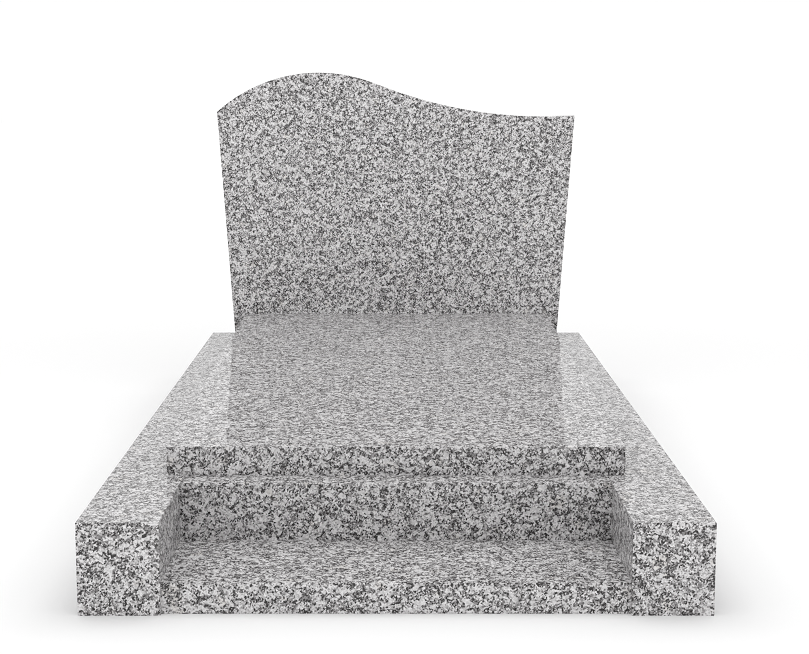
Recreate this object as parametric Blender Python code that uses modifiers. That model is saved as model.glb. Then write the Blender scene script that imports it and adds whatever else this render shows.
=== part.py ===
# Granite grave monument: a frame of kerbs with a flower recess in front, a
# ledger that falls to the front, and a headstone with a wave-shaped top.
# Metres, +Z up. The origin is on the ground at the middle of the frame, and
# the front faces -Y.

import math

import bmesh
import bpy

# Frame of kerbs
FRAME_WIDTH = 1.00
FRAME_LENGTH = 2.00
KERB_WIDTH = 0.13
KERB_HEIGHT = 0.15

# Flower recess at the front
SLAB_THICKNESS = 0.05
SLAB_SETBACK = 0.01             # slab edge behind the ends of the side kerbs
RECESS_DEPTH = 0.26             # from the ends of the side kerbs to the riser

# Ledger
LEDGER_STEP = 0.06              # strip of the riser's top left bare in front
LEDGER_BEARING = 0.03           # what the ledger covers of each stone below it
LEDGER_FRONT_THICKNESS = 0.05
LEDGER_BACK_THICKNESS = 0.066   # thicker, so that rain runs off to the front

# Headstone, with heights counted from its foot
HEADSTONE_THICKNESS = 0.10
HEADSTONE_MARGIN = 0.071        # kerb left bare on each side of the foot
HEADSTONE_SPLAY = math.radians(3.9)
LEFT_SHOULDER_HEIGHT = 0.600
CREST_HEIGHT = 0.702
CREST_INSET = 0.268             # from the left shoulder to the crest
TROUGH_HEIGHT = 0.588
TROUGH_INSET = 0.080            # from the right side to the trough
WAVE_STRAIGHT = 0.050           # straight stretch between crest and trough
CREST_SHARE = 0.25              # share of the crest in both radii of the wave
ARC_STEP = math.radians(1.5)    # turn from one point of an arc to the next

# All stones
ARRIS = 0.0015                  # width of the eased edges
ARRIS_SEGMENTS = 2
JOINT = 0.0003                  # gap between stones that touch
FLATNESS = math.radians(0.05)   # faces closer than this are one flat face
WELD_DISTANCE = 0.00001

GRANITE_COLOUR = (0.43, 0.42, 0.415, 1.0)
GRANITE_ROUGHNESS = 0.15

# Places that several stones share
FRONT = -FRAME_LENGTH / 2
REAR = FRAME_LENGTH / 2
INNER = FRAME_WIDTH / 2 - KERB_WIDTH
RISER_FACE = FRONT + RECESS_DEPTH
LEDGER_FACE = RISER_FACE + LEDGER_STEP
HEADSTONE_FACE = REAR - HEADSTONE_THICKNESS
KERB_TOP = KERB_HEIGHT + JOINT


def clear_scene():
    for item in list(bpy.data.objects):
        bpy.data.objects.remove(item, do_unlink=True)


def new_collection():
    collection = bpy.data.collections.new("grave_monument")
    bpy.context.scene.collection.children.link(collection)
    return collection


def granite(name):
    material = bpy.data.materials.new(name + " granite")
    material.use_nodes = True
    shader = material.node_tree.nodes["Principled BSDF"]
    shader.inputs["Base Color"].default_value = GRANITE_COLOUR
    shader.inputs["Roughness"].default_value = GRANITE_ROUGHNESS
    shader.inputs["Metallic"].default_value = 0.0
    return material


# Gives a stone its name, its material and its eased edges.
def finish_stone(stone, name, collection):
    stone.name = name
    stone.data.name = name
    stone.data.materials.clear()
    stone.data.materials.append(granite(name))
    for owner in list(stone.users_collection):
        owner.objects.unlink(stone)
    collection.objects.link(stone)
    arris = stone.modifiers.new("arris", "BEVEL")
    arris.width = ARRIS
    arris.segments = ARRIS_SEGMENTS
    arris.limit_method = "ANGLE"
    return stone


# A stone with six flat faces, between two opposite corners.
def block(name, low, high, collection):
    centre = [(a + b) / 2 for a, b in zip(low, high)]
    bpy.ops.mesh.primitive_cube_add(size=1.0, location=centre)
    stone = bpy.context.object
    stone.scale = [b - a for a, b in zip(low, high)]
    bpy.ops.object.transform_apply(location=False, rotation=False, scale=True)
    return finish_stone(stone, name, collection)


def side_kerbs(collection):
    outer = FRAME_WIDTH / 2
    block("left_kerb", (-outer, FRONT, 0), (-INNER, REAR, KERB_HEIGHT), collection)
    block("right_kerb", (INNER, FRONT, 0), (outer, REAR, KERB_HEIGHT), collection)


# The stones that lie between the side kerbs.
def cross_stone(name, front, back, height, collection):
    reach = INNER - JOINT
    block(name, (-reach, front, 0), (reach, back, height), collection)


def cross_stones(collection):
    cross_stone("front_slab", FRONT + SLAB_SETBACK, RISER_FACE - JOINT, SLAB_THICKNESS, collection)
    cross_stone("riser", RISER_FACE, LEDGER_FACE + LEDGER_BEARING, KERB_HEIGHT, collection)
    cross_stone("rear_kerb", HEADSTONE_FACE - LEDGER_BEARING, REAR, KERB_HEIGHT, collection)


def ledger(collection):
    reach = INNER + LEDGER_BEARING
    stone = block(
        "ledger",
        (-reach, LEDGER_FACE, KERB_TOP),
        (reach, HEADSTONE_FACE - JOINT, KERB_TOP + LEDGER_FRONT_THICKNESS),
        collection,
    )
    for vertex in stone.data.vertices:
        if vertex.co.y > 0 and vertex.co.z > 0:
            vertex.co.z += LEDGER_BACK_THICKNESS - LEDGER_FRONT_THICKNESS


# Points of an arc about a centre. Angles are counted from straight up, and
# positive ones lean to the right.
def arc(centre_x, centre_height, radius, start, end):
    steps = max(2, math.ceil(abs(end - start) / ARC_STEP))
    points = []
    for step in range(steps + 1):
        angle = start + (end - start) * step / steps
        points.append((centre_x + radius * math.sin(angle), centre_height + radius * math.cos(angle)))
    return points


# Outline of the headstone seen from the front: foot, left side, an arc up to
# the crest, an arc and a straight stretch down from it, an arc through the
# trough that turns the other way, and the right side.
def headstone_outline():
    half_foot = FRAME_WIDTH / 2 - HEADSTONE_MARGIN
    spread = math.tan(HEADSTONE_SPLAY)
    shoulder_x = -half_foot - spread * LEFT_SHOULDER_HEIGHT
    crest_x = shoulder_x + CREST_INSET
    trough_x = half_foot + spread * TROUGH_HEIGHT - TROUGH_INSET

    shoulder_drop = CREST_HEIGHT - LEFT_SHOULDER_HEIGHT
    left_radius = (CREST_INSET ** 2 + shoulder_drop ** 2) / (2 * shoulder_drop)
    left_turn = math.asin(CREST_INSET / left_radius)

    run = trough_x - crest_x
    fall = CREST_HEIGHT - TROUGH_HEIGHT
    slope = 2 * math.atan(fall / (run + WAVE_STRAIGHT))
    both_radii = (run - WAVE_STRAIGHT * math.cos(slope)) / math.sin(slope)
    crest_radius = CREST_SHARE * both_radii
    trough_radius = both_radii - crest_radius
    side_share = (TROUGH_INSET / trough_radius + spread) * math.cos(HEADSTONE_SPLAY)
    side_turn = math.asin(side_share) - HEADSTONE_SPLAY

    rise = arc(crest_x, CREST_HEIGHT - left_radius, left_radius, -left_turn, 0)
    fall_off = arc(crest_x, CREST_HEIGHT - crest_radius, crest_radius, 0, slope)
    trough_centre = TROUGH_HEIGHT + trough_radius
    hollow = arc(trough_x, trough_centre, trough_radius, math.pi + slope, math.pi - side_turn)
    return [(half_foot, 0), (-half_foot, 0)] + rise + fall_off[1:] + hollow


# The outline is drawn as a flat curve and stood up, and its caps are welded on.
def headstone(collection):
    outline = headstone_outline()
    curve = bpy.data.curves.new("headstone outline", "CURVE")
    curve.dimensions = "2D"
    curve.fill_mode = "BOTH"
    curve.extrude = HEADSTONE_THICKNESS / 2
    spline = curve.splines.new("POLY")
    spline.points.add(len(outline) - 1)
    for point, (x, height) in zip(spline.points, outline):
        point.co = (x, height, 0, 1)
    spline.use_cyclic_u = True
    drawn = bpy.data.objects.new("headstone outline", curve)
    drawn.location = (0, HEADSTONE_FACE + HEADSTONE_THICKNESS / 2, KERB_TOP)
    drawn.rotation_euler.x = math.pi / 2
    collection.objects.link(drawn)

    bpy.context.view_layer.update()
    evaluated = drawn.evaluated_get(bpy.context.evaluated_depsgraph_get())
    mesh = bpy.data.meshes.new_from_object(evaluated)
    shape = bmesh.new()
    shape.from_mesh(mesh)
    bmesh.ops.remove_doubles(shape, verts=shape.verts, dist=WELD_DISTANCE)
    bmesh.ops.dissolve_limit(shape, angle_limit=FLATNESS, verts=shape.verts, edges=shape.edges)
    bmesh.ops.recalc_face_normals(shape, faces=shape.faces)
    shape.to_mesh(mesh)
    shape.free()

    stone = bpy.data.objects.new("headstone", mesh)
    stone.matrix_world = drawn.matrix_world
    collection.objects.link(stone)
    bpy.data.objects.remove(drawn, do_unlink=True)
    finish_stone(stone, "headstone", collection)


def main():
    clear_scene()
    collection = new_collection()
    side_kerbs(collection)
    cross_stones(collection)
    ledger(collection)
    headstone(collection)


main()
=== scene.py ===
# Granite grave monument: kerb frame, flower recess, ledger and headstone.
# Metres, +Z up, the front faces -Y. Every stone sits where its frame node is.
import math

import bmesh
import bpy
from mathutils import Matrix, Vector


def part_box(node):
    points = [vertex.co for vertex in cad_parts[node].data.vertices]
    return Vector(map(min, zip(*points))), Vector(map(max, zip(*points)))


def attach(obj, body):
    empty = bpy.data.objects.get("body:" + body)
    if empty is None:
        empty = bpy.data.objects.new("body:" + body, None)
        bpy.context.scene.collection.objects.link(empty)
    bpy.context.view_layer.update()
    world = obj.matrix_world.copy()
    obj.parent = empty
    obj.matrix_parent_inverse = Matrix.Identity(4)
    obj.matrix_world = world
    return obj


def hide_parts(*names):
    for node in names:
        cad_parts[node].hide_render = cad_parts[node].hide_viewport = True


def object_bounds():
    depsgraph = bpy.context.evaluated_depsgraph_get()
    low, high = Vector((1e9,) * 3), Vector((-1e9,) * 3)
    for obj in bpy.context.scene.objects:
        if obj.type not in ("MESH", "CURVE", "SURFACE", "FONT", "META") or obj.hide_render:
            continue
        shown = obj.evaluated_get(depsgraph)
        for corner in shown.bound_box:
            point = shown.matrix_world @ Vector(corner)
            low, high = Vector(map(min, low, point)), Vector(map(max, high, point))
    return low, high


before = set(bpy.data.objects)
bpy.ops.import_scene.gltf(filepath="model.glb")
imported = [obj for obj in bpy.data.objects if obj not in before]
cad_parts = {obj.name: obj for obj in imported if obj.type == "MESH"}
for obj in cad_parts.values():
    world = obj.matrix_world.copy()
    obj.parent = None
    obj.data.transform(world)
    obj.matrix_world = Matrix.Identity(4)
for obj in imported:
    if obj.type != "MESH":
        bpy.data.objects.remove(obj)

cadBox = [list(corner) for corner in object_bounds()]
scene = bpy.context.scene
white = (1.0, 1.0, 1.0, 1.0)
print("frame loaded:", len(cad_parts), "stones")


# Adds a node. Its inputs are plain values or the outputs of other nodes.
def addNode(tree, kind, inputs, **settings):
    node = tree.nodes.new(kind)
    for name, value in settings.items():
        setattr(node, name, value)
    for name, value in inputs.items():
        if isinstance(value, bpy.types.NodeSocket):
            tree.links.new(value, node.inputs[name])
        else:
            node.inputs[name].default_value = value
    return node


def maths(tree, operation, *values):
    return addNode(tree, "ShaderNodeMath", dict(enumerate(values)), operation=operation).outputs[0]


def vectorMaths(tree, operation, *values):
    return addNode(tree, "ShaderNodeVectorMath", dict(enumerate(values)), operation=operation).outputs


def smoothRange(tree, limits):
    return addNode(tree, "ShaderNodeMapRange", limits, interpolation_type="SMOOTHSTEP").outputs["Result"]


# 0 below the edge, 1 above it
def step(tree, value, edge, softness):
    return smoothRange(tree, {"Value": value, "From Min": edge - softness, "From Max": edge + softness})


# Inputs 2 and 3 of a Mix node are its numbers, 6 and 7 its colours
def blendNumbers(tree, share, under, over):
    return addNode(tree, "ShaderNodeMix", {0: share, 2: under, 3: over}).outputs[0]


def blend(tree, share, under, over):
    return addNode(tree, "ShaderNodeMix", {0: share, 6: under, 7: over}, data_type="RGBA").outputs[2]


def noise(tree, place, scale, detail):
    waves = {"Vector": place, "Scale": scale, "Detail": detail}
    return addNode(tree, "ShaderNodeTexNoise", waves).outputs


# Random numbers, three for each grain
def grains(tree, place, scale):
    cells = addNode(tree, "ShaderNodeTexVoronoi", {"Vector": place, "Scale": scale})
    return addNode(tree, "ShaderNodeSeparateColor", {0: cells.outputs["Color"]}).outputs


# Granite: white feldspar, grey quartz, dark mica in flakes, a rare rusty stain.
# Scales are in grains or waves per metre.
granite = {
    "feldspar": (0.775, 0.764, 0.770, 1.0),
    "feldsparGrey": (0.55, 0.540, 0.544, 1.0),
    "quartz": (0.305, 0.295, 0.298, 1.0),
    "quartzDark": (0.145, 0.139, 0.140, 1.0),
    "mica": (0.044, 0.0412, 0.0417, 1.0),
    "stain": (0.64, 0.58, 0.50, 1.0),
    "patchScale": 150.0,                # patches rich in white or in grey grains
    "patchPull": 0.68,                  # how pure the patches are
    "micaPull": 0.35,                   # how strongly mica keeps to the grey ones
    "grainScale": 380.0,
    "cloudScale": 140.0,                # cloudiness of the feldspar
    "cloudDetail": 2.0,
    "cloudPull": 2.0,
    "flakeScale": 500.0,
    "flakeShape": (1.0, 1.4, 1.4),      # flakes are wider than thick
    "flakeTurns": ((0.5, 0.65, 0.7), (-0.4, 0.3, -0.75)),   # radians, a turn for each set of flakes
    "wobbleScale": 200.0,
    "wobbleDetail": 1.0,
    "wobble": 0.0025,                   # metres that the patches' edges wander
    "quartzShare": 0.455,
    "quartzEdge": 0.22,                 # wide, so that many grains are half quartz
    "micaShare": 0.13,                  # of each of the two sets of flakes
    "micaEdge": 0.02,
    "stainScale": 30.0,
    "stainDetail": 1.0,
    "stainFrom": 0.68,
    "stainEdge": 0.03,
    "stainStrength": 0.2,
    "polish": 0.62,                     # strength of the clear reflection
    "polishRoughness": 0.04,
    "polishIor": 1.5,
    "feldsparRoughness": 0.10,
    "micaRoughness": 0.18,
    "sawnRoughness": 0.60,
    "pits": 0.00002,                    # depth of the mica below the polish
}


def wanderingPlace(tree, place):
    g = granite
    wander = noise(tree, place, g["wobbleScale"], g["wobbleDetail"])["Color"]
    reach = (g["wobble"],) * 3
    return vectorMaths(tree, "MULTIPLY_ADD", wander, reach, place)[0]


# From minus half the pull in the whitest patches to plus half in the greyest
def crowding(tree, patch, pull):
    return maths(tree, "MULTIPLY_ADD", patch, pull, -0.5 * pull)


def micaMask(tree, place, crowd, turn):
    g = granite
    shaped = {"Vector": place, "Rotation": turn, "Scale": g["flakeShape"]}
    flakePlace = addNode(tree, "ShaderNodeMapping", shaped, vector_type="TEXTURE").outputs[0]
    chance = maths(tree, "ADD", grains(tree, flakePlace, g["flakeScale"])[0], crowd)
    return step(tree, chance, 1.0 - g["micaShare"], g["micaEdge"])


def makeGranite(name, quarry, sawn=False):
    g = granite
    material = bpy.data.materials.new(name)
    material.use_nodes = True
    tree = material.node_tree
    shader = tree.nodes["Principled BSDF"]
    shader.inputs["Specular IOR Level"].default_value = 0.0
    shader.inputs["Coat Weight"].default_value = 0.0 if sawn else g["polish"]
    shader.inputs["Coat Roughness"].default_value = g["polishRoughness"]
    shader.inputs["Coat IOR"].default_value = g["polishIor"]
    objectPlace = addNode(tree, "ShaderNodeTexCoord", {}).outputs["Object"]
    moved = {"Vector": objectPlace, "Location": quarry}
    place = addNode(tree, "ShaderNodeMapping", moved).outputs[0]

    patch = grains(tree, wanderingPlace(tree, place), g["patchScale"])[0]
    grain = grains(tree, place, g["grainScale"])
    greyness = maths(tree, "ADD", grain[0], crowding(tree, patch, g["patchPull"]))
    quartz = step(tree, greyness, 1.0 - g["quartzShare"], g["quartzEdge"])
    micaCrowd = crowding(tree, patch, g["micaPull"])
    masks = [micaMask(tree, place, micaCrowd, turn) for turn in g["flakeTurns"]]
    mica = maths(tree, "MAXIMUM", *masks)

    cloud = noise(tree, place, g["cloudScale"], g["cloudDetail"])["Fac"]
    dullness = maths(tree, "ADD", grain[1], crowding(tree, cloud, g["cloudPull"]))
    pale = blend(tree, dullness, g["feldspar"], g["feldsparGrey"])
    stain = noise(tree, place, g["stainScale"], g["stainDetail"])["Fac"]
    stain = step(tree, stain, g["stainFrom"], g["stainEdge"])
    stain = maths(tree, "MULTIPLY", stain, g["stainStrength"])
    pale = blend(tree, stain, pale, g["stain"])
    grey = blend(tree, grain[2], g["quartz"], g["quartzDark"])
    stone = blend(tree, quartz, pale, grey)
    stone = blend(tree, mica, stone, g["mica"])
    tree.links.new(stone, shader.inputs["Base Color"])

    if sawn:
        shader.inputs["Roughness"].default_value = g["sawnRoughness"]
        return material
    gloss = {"Value": mica, "To Min": g["feldsparRoughness"], "To Max": g["micaRoughness"]}
    roughness = addNode(tree, "ShaderNodeMapRange", gloss).outputs["Result"]
    tree.links.new(roughness, shader.inputs["Roughness"])
    relief = {"Height": maths(tree, "SUBTRACT", 1.0, mica), "Distance": g["pits"], "Strength": 1.0}
    tree.links.new(addNode(tree, "ShaderNodeBump", relief).outputs[0], shader.inputs["Normal"])
    return material


# Edges and joints of all stones
edges = {
    "arris": 0.0006,            # eased edge
    "segments": 3,
    "sharpFrom": 30.0,          # degrees
    "joint": 0.0003,            # gap between the frame's stones
    "facesDown": -0.9,          # height of the normal, below which a face is an underside
}
seat = edges["arris"] + edges["joint"]      # a stone bedded this deep shows no gap


# Polished all round but for the underside, which stays as sawn
def finishStone(shape, node, quarry):
    bmesh.ops.recalc_face_normals(shape, faces=shape.faces)
    for face in shape.faces:
        face.smooth = True
        face.material_index = 1 if face.normal.z < edges["facesDown"] else 0
    mesh = bpy.data.meshes.new(node + "_stone")
    shape.to_mesh(mesh)
    shape.free()
    mesh.materials.append(makeGranite(node + " polished", quarry))
    mesh.materials.append(makeGranite(node + " sawn", quarry, sawn=True))
    piece = bpy.data.objects.new(node + "_stone", mesh)
    scene.collection.objects.link(piece)
    ease = piece.modifiers.new("eased edges", "BEVEL")
    ease.width = edges["arris"]
    ease.segments = edges["segments"]
    ease.limit_method = "ANGLE"
    ease.angle_limit = math.radians(edges["sharpFrom"])
    ease.harden_normals = True
    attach(piece, "root")
    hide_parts(node)


# A stone with square ends: its node's box, bedded deeper at some of its sides
sides = (("left", "right"), ("front", "back"), ("under", "top"))


def blockShape(node, beds):
    low, high = [list(corner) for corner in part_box(node)]
    for axis, (lowSide, highSide) in enumerate(sides):
        if lowSide in beds:
            low[axis] -= seat
        if highSide in beds:
            high[axis] += seat
    shape = bmesh.new()
    bmesh.ops.create_cube(shape, size=1.0)
    for vertex in shape.verts:
        vertex.co = [h if c > 0 else l for c, l, h in zip(vertex.co, low, high)]
    return shape


# Kerbs, riser and front slab: where each block was quarried, and its bedded sides
blocks = {
    "left_kerb": ((0.0, 0.0, 0.0), ()),
    "right_kerb": ((3.1, 0.4, 0.2), ()),
    "rear_kerb": ((1.3, 5.2, 0.9), ()),
    "front_slab": ((6.7, 2.2, 1.4), ("left", "right", "back")),
    "riser": ((2.9, 7.6, 3.3), ("left", "right")),
}
for node, (quarry, beds) in blocks.items():
    finishStone(blockShape(node, beds), node, quarry)
print("kerbs, riser and front slab done")


# Ledger: its top falls to the front
ledger = {
    "frontThickness": 0.05,
    "quarry": (8.3, 1.1, 5.2),
    "beds": ("under", "back"),
}


def ledgerShape():
    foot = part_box("ledger")[0].z
    shape = blockShape("ledger", ledger["beds"])
    for vertex in shape.verts:
        if vertex.co.z > foot and vertex.co.y < 0:
            vertex.co.z = foot + ledger["frontThickness"]
    return shape


finishStone(ledgerShape(), "ledger", ledger["quarry"])
print("ledger done")


# Headstone: splayed sides, a crest on the left and a trough on the right.
# Heights are counted from its foot.
headstone = {
    "margin": 0.071,            # kerb left bare beside the foot
    "splay": 3.9,               # degrees
    "leftShoulder": 0.600,
    "crest": 0.702,
    "crestInset": 0.268,        # from the left shoulder to the crest
    "trough": 0.588,
    "troughInset": 0.080,       # from the right side to the trough
    "straight": 0.050,          # straight stretch between the two
    "crestShare": 0.25,         # share of the crest in both radii of the wave
    "arcStep": 0.75,            # degrees from one point of an arc to the next
    "quarry": (4.4, 9.1, 7.7),
}


# Angles are counted from straight up, and positive ones lean to the right
def arcPoints(centreX, centreZ, radius, start, end):
    count = max(2, math.ceil(abs(end - start) / math.radians(headstone["arcStep"])))
    angles = [start + (end - start) * i / count for i in range(count + 1)]
    return [(centreX + radius * math.sin(a), centreZ + radius * math.cos(a)) for a in angles]


def headstoneOutline():
    h = headstone
    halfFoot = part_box("right_kerb")[1].x - h["margin"]
    splay = math.radians(h["splay"])
    spread = math.tan(splay)
    crestX = h["crestInset"] - halfFoot - spread * h["leftShoulder"]
    troughX = halfFoot + spread * h["trough"] - h["troughInset"]
    drop = h["crest"] - h["leftShoulder"]
    leftRadius = (h["crestInset"] ** 2 + drop ** 2) / (2 * drop)
    leftTurn = math.asin(h["crestInset"] / leftRadius)
    run = troughX - crestX
    slope = 2 * math.atan((h["crest"] - h["trough"]) / (run + h["straight"]))
    bothRadii = (run - h["straight"] * math.cos(slope)) / math.sin(slope)
    crestRadius = h["crestShare"] * bothRadii
    troughRadius = bothRadii - crestRadius
    sideTurn = math.asin((h["troughInset"] / troughRadius + spread) * math.cos(splay)) - splay
    left = arcPoints(crestX, h["crest"] - leftRadius, leftRadius, -leftTurn, 0)
    right = arcPoints(crestX, h["crest"] - crestRadius, crestRadius, 0, slope)
    troughCentre = h["trough"] + troughRadius
    hollow = arcPoints(troughX, troughCentre, troughRadius, math.pi + slope, math.pi - sideTurn)
    return [(halfFoot, 0), (-halfFoot, 0)] + left + right[1:] + hollow


def headstoneShape():
    low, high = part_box("headstone")
    shape = bmesh.new()
    front = [shape.verts.new((x, low.y, low.z + z)) for x, z in headstoneOutline()]
    face = shape.faces.new(front)
    pushed = bmesh.ops.extrude_face_region(shape, geom=[face])["geom"]
    back = [v for v in pushed if isinstance(v, bmesh.types.BMVert)]
    bmesh.ops.translate(shape, verts=back, vec=(0, high.y - low.y, 0))
    return shape


finishStone(headstoneShape(), "headstone", headstone["quarry"])
print("headstone done")


# Studio: a white floor with painted light that grows away from the kerbs, soft light from all round, and
# a soft box overhead
studio = {
    "floorSize": 60.0,
    "floorTone": 0.87,
    "paintedFloorLight": 0.10,          # painted light, which lifts the floor past the shadow at the kerbs
    "paintedLightReach": 0.25,          # metres from the kerbs
    "paintedFarLight": 0.22,            # painted light, which lifts the floor that the soft box doesn't reach
    "farFrom": 0.4,             # metres from the kerbs
    "farTo": 3.6,
    "backdrop": 1.01,           # what is seen past the floor's end
    "level": 0.89,              # light from all round
    "horizon": 0.39,            # more of it near the ground
    "horizonTop": 0.33,         # sine of the angle where that ends
    "boxSize": 2.5,
    "boxHeight": 3.2,
    "boxForward": 0.5,          # in front of the middle of the grave
    "boxLight": 1.55,           # brightness of its face
}


# Painted light on the floor: a glow that grows from nothing to its strength between two distances from
# the kerbs
def rampOfPaintedLight(tree, away, start, end, strength):
    return smoothRange(tree, {"Value": away, "From Min": start, "From Max": end, "To Max": strength})


# How far a place on the floor is from the kerb frame
def distanceFromKerbs(tree):
    place = addNode(tree, "ShaderNodeTexCoord", {}).outputs["Object"]
    half = (cadBox[1][0], cadBox[1][1], 0.0)
    mirrored = vectorMaths(tree, "ABSOLUTE", place)[0]
    beyond = vectorMaths(tree, "SUBTRACT", mirrored, half)[0]
    outside = vectorMaths(tree, "MAXIMUM", beyond, (0.0, 0.0, 0.0))[0]
    return vectorMaths(tree, "LENGTH", outside)["Value"]


def makeFloor():
    bpy.ops.mesh.primitive_plane_add(size=studio["floorSize"])
    floor = bpy.context.object
    floor.name = "floor"
    paint = bpy.data.materials.new("white floor")
    paint.use_nodes = True
    tree = paint.node_tree
    shader = tree.nodes["Principled BSDF"]
    shader.inputs["Base Color"].default_value = (studio["floorTone"],) * 3 + (1.0,)
    shader.inputs["Roughness"].default_value = 1.0
    shader.inputs["Specular IOR Level"].default_value = 0.0
    shader.inputs["Emission Color"].default_value = white
    # Painted light: the floor glows more the farther it is from the kerbs, and not at all right beside
    # them
    away = distanceFromKerbs(tree)
    near = rampOfPaintedLight(tree, away, 0.0, studio["paintedLightReach"], studio["paintedFloorLight"])
    far = rampOfPaintedLight(tree, away, studio["farFrom"], studio["farTo"], studio["paintedFarLight"])
    tree.links.new(maths(tree, "ADD", near, far), shader.inputs["Emission Strength"])
    floor.data.materials.append(paint)


# What is seen past the floor's end stays white, and the light itself is graded
def makeSky():
    world = bpy.data.worlds.new("studio")
    scene.world = world
    world.use_nodes = True
    tree = world.node_tree
    generated = addNode(tree, "ShaderNodeTexCoord", {}).outputs["Generated"]
    direction = addNode(tree, "ShaderNodeSeparateXYZ", {0: generated}).outputs
    fading = {
        "Value": direction["Z"],
        "From Max": studio["horizonTop"],
        "To Min": studio["level"] + studio["horizon"],
        "To Max": studio["level"],
    }
    light = addNode(tree, "ShaderNodeMapRange", fading).outputs["Result"]
    seen = addNode(tree, "ShaderNodeLightPath", {}).outputs["Is Camera Ray"]
    background = tree.nodes["Background"]
    background.inputs["Color"].default_value = white
    tree.links.new(blendNumbers(tree, seen, light, studio["backdrop"]), background.inputs["Strength"])


def makeSoftBox():
    light = bpy.data.lights.new("soft box", "AREA")
    light.shape = "SQUARE"
    light.size = studio["boxSize"]
    light.energy = studio["boxLight"] * math.pi * studio["boxSize"] ** 2
    box = bpy.data.objects.new("soft box", light)
    box.location = (0, -studio["boxForward"], studio["boxHeight"])
    box.visible_camera = False
    scene.collection.objects.link(box)


makeFloor()
makeSky()
makeSoftBox()
print("studio done")


# Camera: in front of the grave, a little lower than the headstone's crest
camera = {
    "distance": 2.5443,         # in front of the kerbs' ends
    "height": 0.8314,
    "tiltDown": 8.341,          # degrees
    "sensor": 36.0,             # millimetres, as the lens
    "lens": 74.75,
    "shiftX": 0.01057,
    "seesTo": 200.0,
    "pixelFilter": 1.3,
    "sharpening": 0.12,
    "gamma": 2.2,
}


def makeCamera():
    data = bpy.data.cameras.new("camera")
    data.sensor_width = camera["sensor"]
    data.lens = camera["lens"]
    data.shift_x = camera["shiftX"]
    data.clip_end = camera["seesTo"]
    view = bpy.data.objects.new("camera", data)
    view.location = (0, cadBox[0][1] - camera["distance"], camera["height"])
    view.rotation_euler = (math.radians(90 - camera["tiltDown"]), 0, 0)
    scene.collection.objects.link(view)
    scene.camera = view


# Plain display colours, and crisp grains that the denoiser doesn't smear
def keepGrainsCrisp():
    scene.view_settings.view_transform = "Standard"
    scene.view_settings.look = "None"
    scene.cycles.filter_width = camera["pixelFilter"]
    scene.cycles.denoising_prefilter = "NONE"


# The photograph is sharpened, so the picture is too, in display values
def sharpenPicture():
    scene.use_nodes = True
    tree = scene.node_tree
    tree.nodes.clear()
    picture = addNode(tree, "CompositorNodeRLayers", {}).outputs["Image"]
    picture = addNode(tree, "CompositorNodeGamma", {0: picture, 1: 1 / camera["gamma"]}).outputs[0]
    sharp = {"Fac": camera["sharpening"], "Image": picture}
    picture = addNode(tree, "CompositorNodeFilter", sharp, filter_type="SHARPEN_DIAMOND").outputs[0]
    picture = addNode(tree, "CompositorNodeGamma", {0: picture, 1: camera["gamma"]}).outputs[0]
    addNode(tree, "CompositorNodeComposite", {"Image": picture})


makeCamera()
keepGrainsCrisp()
sharpenPicture()
print("camera done")
